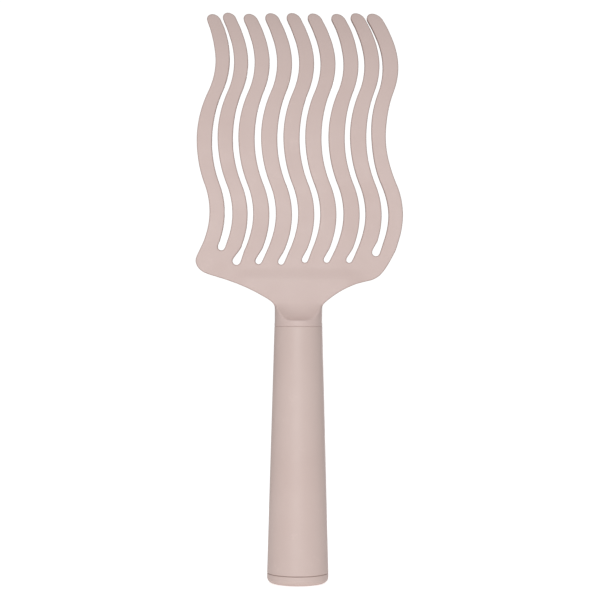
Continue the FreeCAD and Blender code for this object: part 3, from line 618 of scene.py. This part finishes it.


def material(name, colour, roughness, scuffs=0.0, metallic=0.0, grain=1.0):
    """Moulded plastic or metal: cloudy colour, uneven gloss, a fine skin, light scuffs and painted shade
    on the rims.
    """
    made = bpy.data.materials.new(name)
    made.use_nodes = True
    nodes, links = made.node_tree.nodes, made.node_tree.links
    shader = nodes["Principled BSDF"]
    shader.inputs["Metallic"].default_value = metallic
    shader.inputs["IOR"].default_value = 1.46
    place = nodes.new("ShaderNodeTexCoord").outputs["Object"]

    def noise(scale, detail, rough=0.5):
        node = nodes.new("ShaderNodeTexNoise")
        node.inputs["Scale"].default_value = scale
        node.inputs["Detail"].default_value = detail
        node.inputs["Roughness"].default_value = rough
        links.new(place, node.inputs["Vector"])
        return node.outputs["Fac"]

    def ramp(source, low, high, low_at=0.3, high_at=0.7):
        node = nodes.new("ShaderNodeValToRGB")
        node.color_ramp.elements[0].position = low_at
        node.color_ramp.elements[1].position = high_at
        node.color_ramp.elements[0].color = (*low, 1)
        node.color_ramp.elements[1].color = (*high, 1)
        links.new(source, node.inputs["Fac"])
        return node.outputs["Color"]

    def painted(under, colour, share):
        """Mixes a plain colour over another one, by a share that varies over the surface."""
        node = nodes.new("ShaderNodeMix")
        node.data_type = "RGBA"
        below, above, result = node.inputs[6], node.inputs[7], node.outputs[2]    # its colour sockets
        links.new(share, node.inputs[0])
        links.new(under, below)
        above.default_value = (*colour, 1)
        return result

    darker = tuple(c * s for c, s in zip(colour, (0.965, 0.955, 0.95)))
    lighter = tuple(min(c * s, 1) for c, s in zip(colour, (1.02, 1.03, 1.03)))
    rubbed = tuple(min(c * 1.12 + 0.02, 1) for c in colour)
    cloudy = ramp(noise(28, 3), darker, lighter)
    worn = painted(cloudy, rubbed, ramp(noise(190, 5, 0.7), (0, 0, 0), (scuffs,) * 3, 0.60, 0.72))
    # painted shade: the colour is darkened towards the rims' tint where the rim attribute is high, along
    # the rims and in the cap's seam
    rims = nodes.new("ShaderNodeAttribute")
    rims.attribute_name = "rim"
    shade = nodes.new("ShaderNodeMath")
    shade.operation = "MULTIPLY"
    links.new(rims.outputs["Fac"], shade.inputs[0])
    shade.inputs[1].default_value = RIM_SHADE
    shaded_rims = painted(worn, tuple(c * s for c, s in zip(colour, RIM_SHADE_TINT)), shade.outputs[0])
    links.new(shaded_rims, shader.inputs["Base Color"])
    gloss = ramp(noise(75, 4, 0.6), (roughness - 0.06,) * 3, (roughness + 0.07,) * 3)
    links.new(gloss, shader.inputs["Roughness"])
    bump = nodes.new("ShaderNodeBump")
    bump.inputs["Strength"].default_value = 0.16 * grain
    bump.inputs["Distance"].default_value = 0.00012
    links.new(noise(1500, 3, 0.6), bump.inputs["Height"])
    links.new(bump.outputs["Normal"], shader.inputs["Normal"])
    return made


head_plastic = material("head_plastic", (0.650, 0.513, 0.479), 0.52, 0.25)
handle_plastic = material("handle_plastic", (0.645, 0.512, 0.474), 0.50, 0.35)
pin_nylon = material("pin_nylon", (0.60, 0.465, 0.425), 0.38, 0.1, grain=0.4)
zinc_steel = material("zinc_plated_steel", (0.62, 0.63, 0.64), 0.32, 0.3, metallic=1.0, grain=0.5)

# ---------------------------------------------------------------- the pieces
shoulder = make_shoulder()
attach(shoulder, "handle")
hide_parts("head_shoulder")
shoulder.data.materials.append(head_plastic)

for arm in range(len(AXES)):
    wavy = make_arm(arm)
    wavy.data.materials.append(head_plastic)
    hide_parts(f"arm_{arm + 1}")
    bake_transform(wavy)
    pins = make_pins(arm)
    pins.data.materials.append(pin_nylon)
    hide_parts(f"pins_{arm + 1}")
    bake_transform(pins)

for piece, node in ((make_handle(), "handle_shell"), (make_cap(), "end_cap")):
    piece.data.materials.append(handle_plastic)
    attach(piece, "handle")
    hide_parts(node)

for node in ("retaining_screw", "washer"):
    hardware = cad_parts[node]
    hardware.data.materials.clear()
    hardware.data.materials.append(zinc_steel)
    edge_round = hardware.modifiers.new("edge_round", "BEVEL")
    edge_round.width = 0.0001
    edge_round.segments = 2

# ---------------------------------------------------------------- camera, floor and light
DISTANCE = 0.780
camera_data = bpy.data.cameras.new("camera")
camera_data.lens = 107.6
camera = bpy.data.objects.new("camera", camera_data)
camera.location = (0.00065, -DISTANCE, 0.1228)
camera.rotation_euler = (math.pi / 2, -math.radians(0.17), 0)
bpy.context.scene.collection.objects.link(camera)
bpy.context.scene.camera = camera

floor_mesh = bpy.data.meshes.new("floor")
floor_shape = bmesh.new()
bmesh.ops.create_circle(floor_shape, cap_ends=True, segments=96, radius=0.28)
floor_shape.to_mesh(floor_mesh)
floor_shape.free()
floor = bpy.data.objects.new("floor", floor_mesh)
floor.location = (0, 0, -0.0002)
bpy.context.scene.collection.objects.link(floor)
floor_paint = bpy.data.materials.new("floor_paint")
floor_paint.use_nodes = True
paint = floor_paint.node_tree.nodes["Principled BSDF"]
paint.inputs["Base Color"].default_value = (0.86, 0.86, 0.86, 1)
paint.inputs["Roughness"].default_value = 0.9
paint.inputs["Emission Color"].default_value = (1, 1, 1, 1)
# white to the camera, like the photo's background, but no brighter to the brush than a pale floor
glow = floor_paint.node_tree.nodes.new("ShaderNodeMath")
glow.operation = "MULTIPLY_ADD"
glow.inputs[1].default_value = 0.36
glow.inputs[2].default_value = 0.30
floor_rays = floor_paint.node_tree.nodes.new("ShaderNodeLightPath")
floor_links = floor_paint.node_tree.links
floor_links.new(floor_rays.outputs["Is Camera Ray"], glow.inputs[0])
floor_links.new(glow.outputs[0], paint.inputs["Emission Strength"])
floor_mesh.materials.append(floor_paint)

world = bpy.data.worlds.new("studio")
world.use_nodes = True
bpy.context.scene.world = world
sky, sky_links = world.node_tree.nodes, world.node_tree.links
seen = sky.new("ShaderNodeBackground")    # what the camera sees; the other one lights the scene
seen.inputs["Color"].default_value = (1, 1, 1, 1)
seen.inputs["Strength"].default_value = 1.05
sky["Background"].inputs["Color"].default_value = (1, 1, 1, 1)
sky["Background"].inputs["Strength"].default_value = 0.414
by_ray = sky.new("ShaderNodeMixShader")
sky_links.new(sky.new("ShaderNodeLightPath").outputs["Is Camera Ray"], by_ray.inputs[0])
sky_links.new(sky["Background"].outputs[0], by_ray.inputs[1])
sky_links.new(seen.outputs[0], by_ray.inputs[2])
sky_links.new(by_ray.outputs[0], sky["World Output"].inputs["Surface"])


def soft_light(name, place, aim, size, power):
    """A round area light aimed at a point."""
    data = bpy.data.lights.new(name, "AREA")
    data.shape = "DISK"
    data.size = size
    data.energy = power
    light = bpy.data.objects.new(name, data)
    light.location = place
    light.rotation_euler = (Vector(aim) - Vector(place)).to_track_quat("-Z", "Y").to_euler()
    bpy.context.scene.collection.objects.link(light)


soft_light("key", (-0.12, -1.5, 0.16), (0, 0, 0.15), 0.7, 8.7)
soft_light("top", (-0.1, -0.7, 1.2), (0, 0, 0.2), 0.8, 2.6)
soft_light("pin_side", (0.5, 1.6, 0.3), (0, 0, 0.13), 0.8, 5.0)

bpy.context.scene.view_settings.view_transform = "Standard"
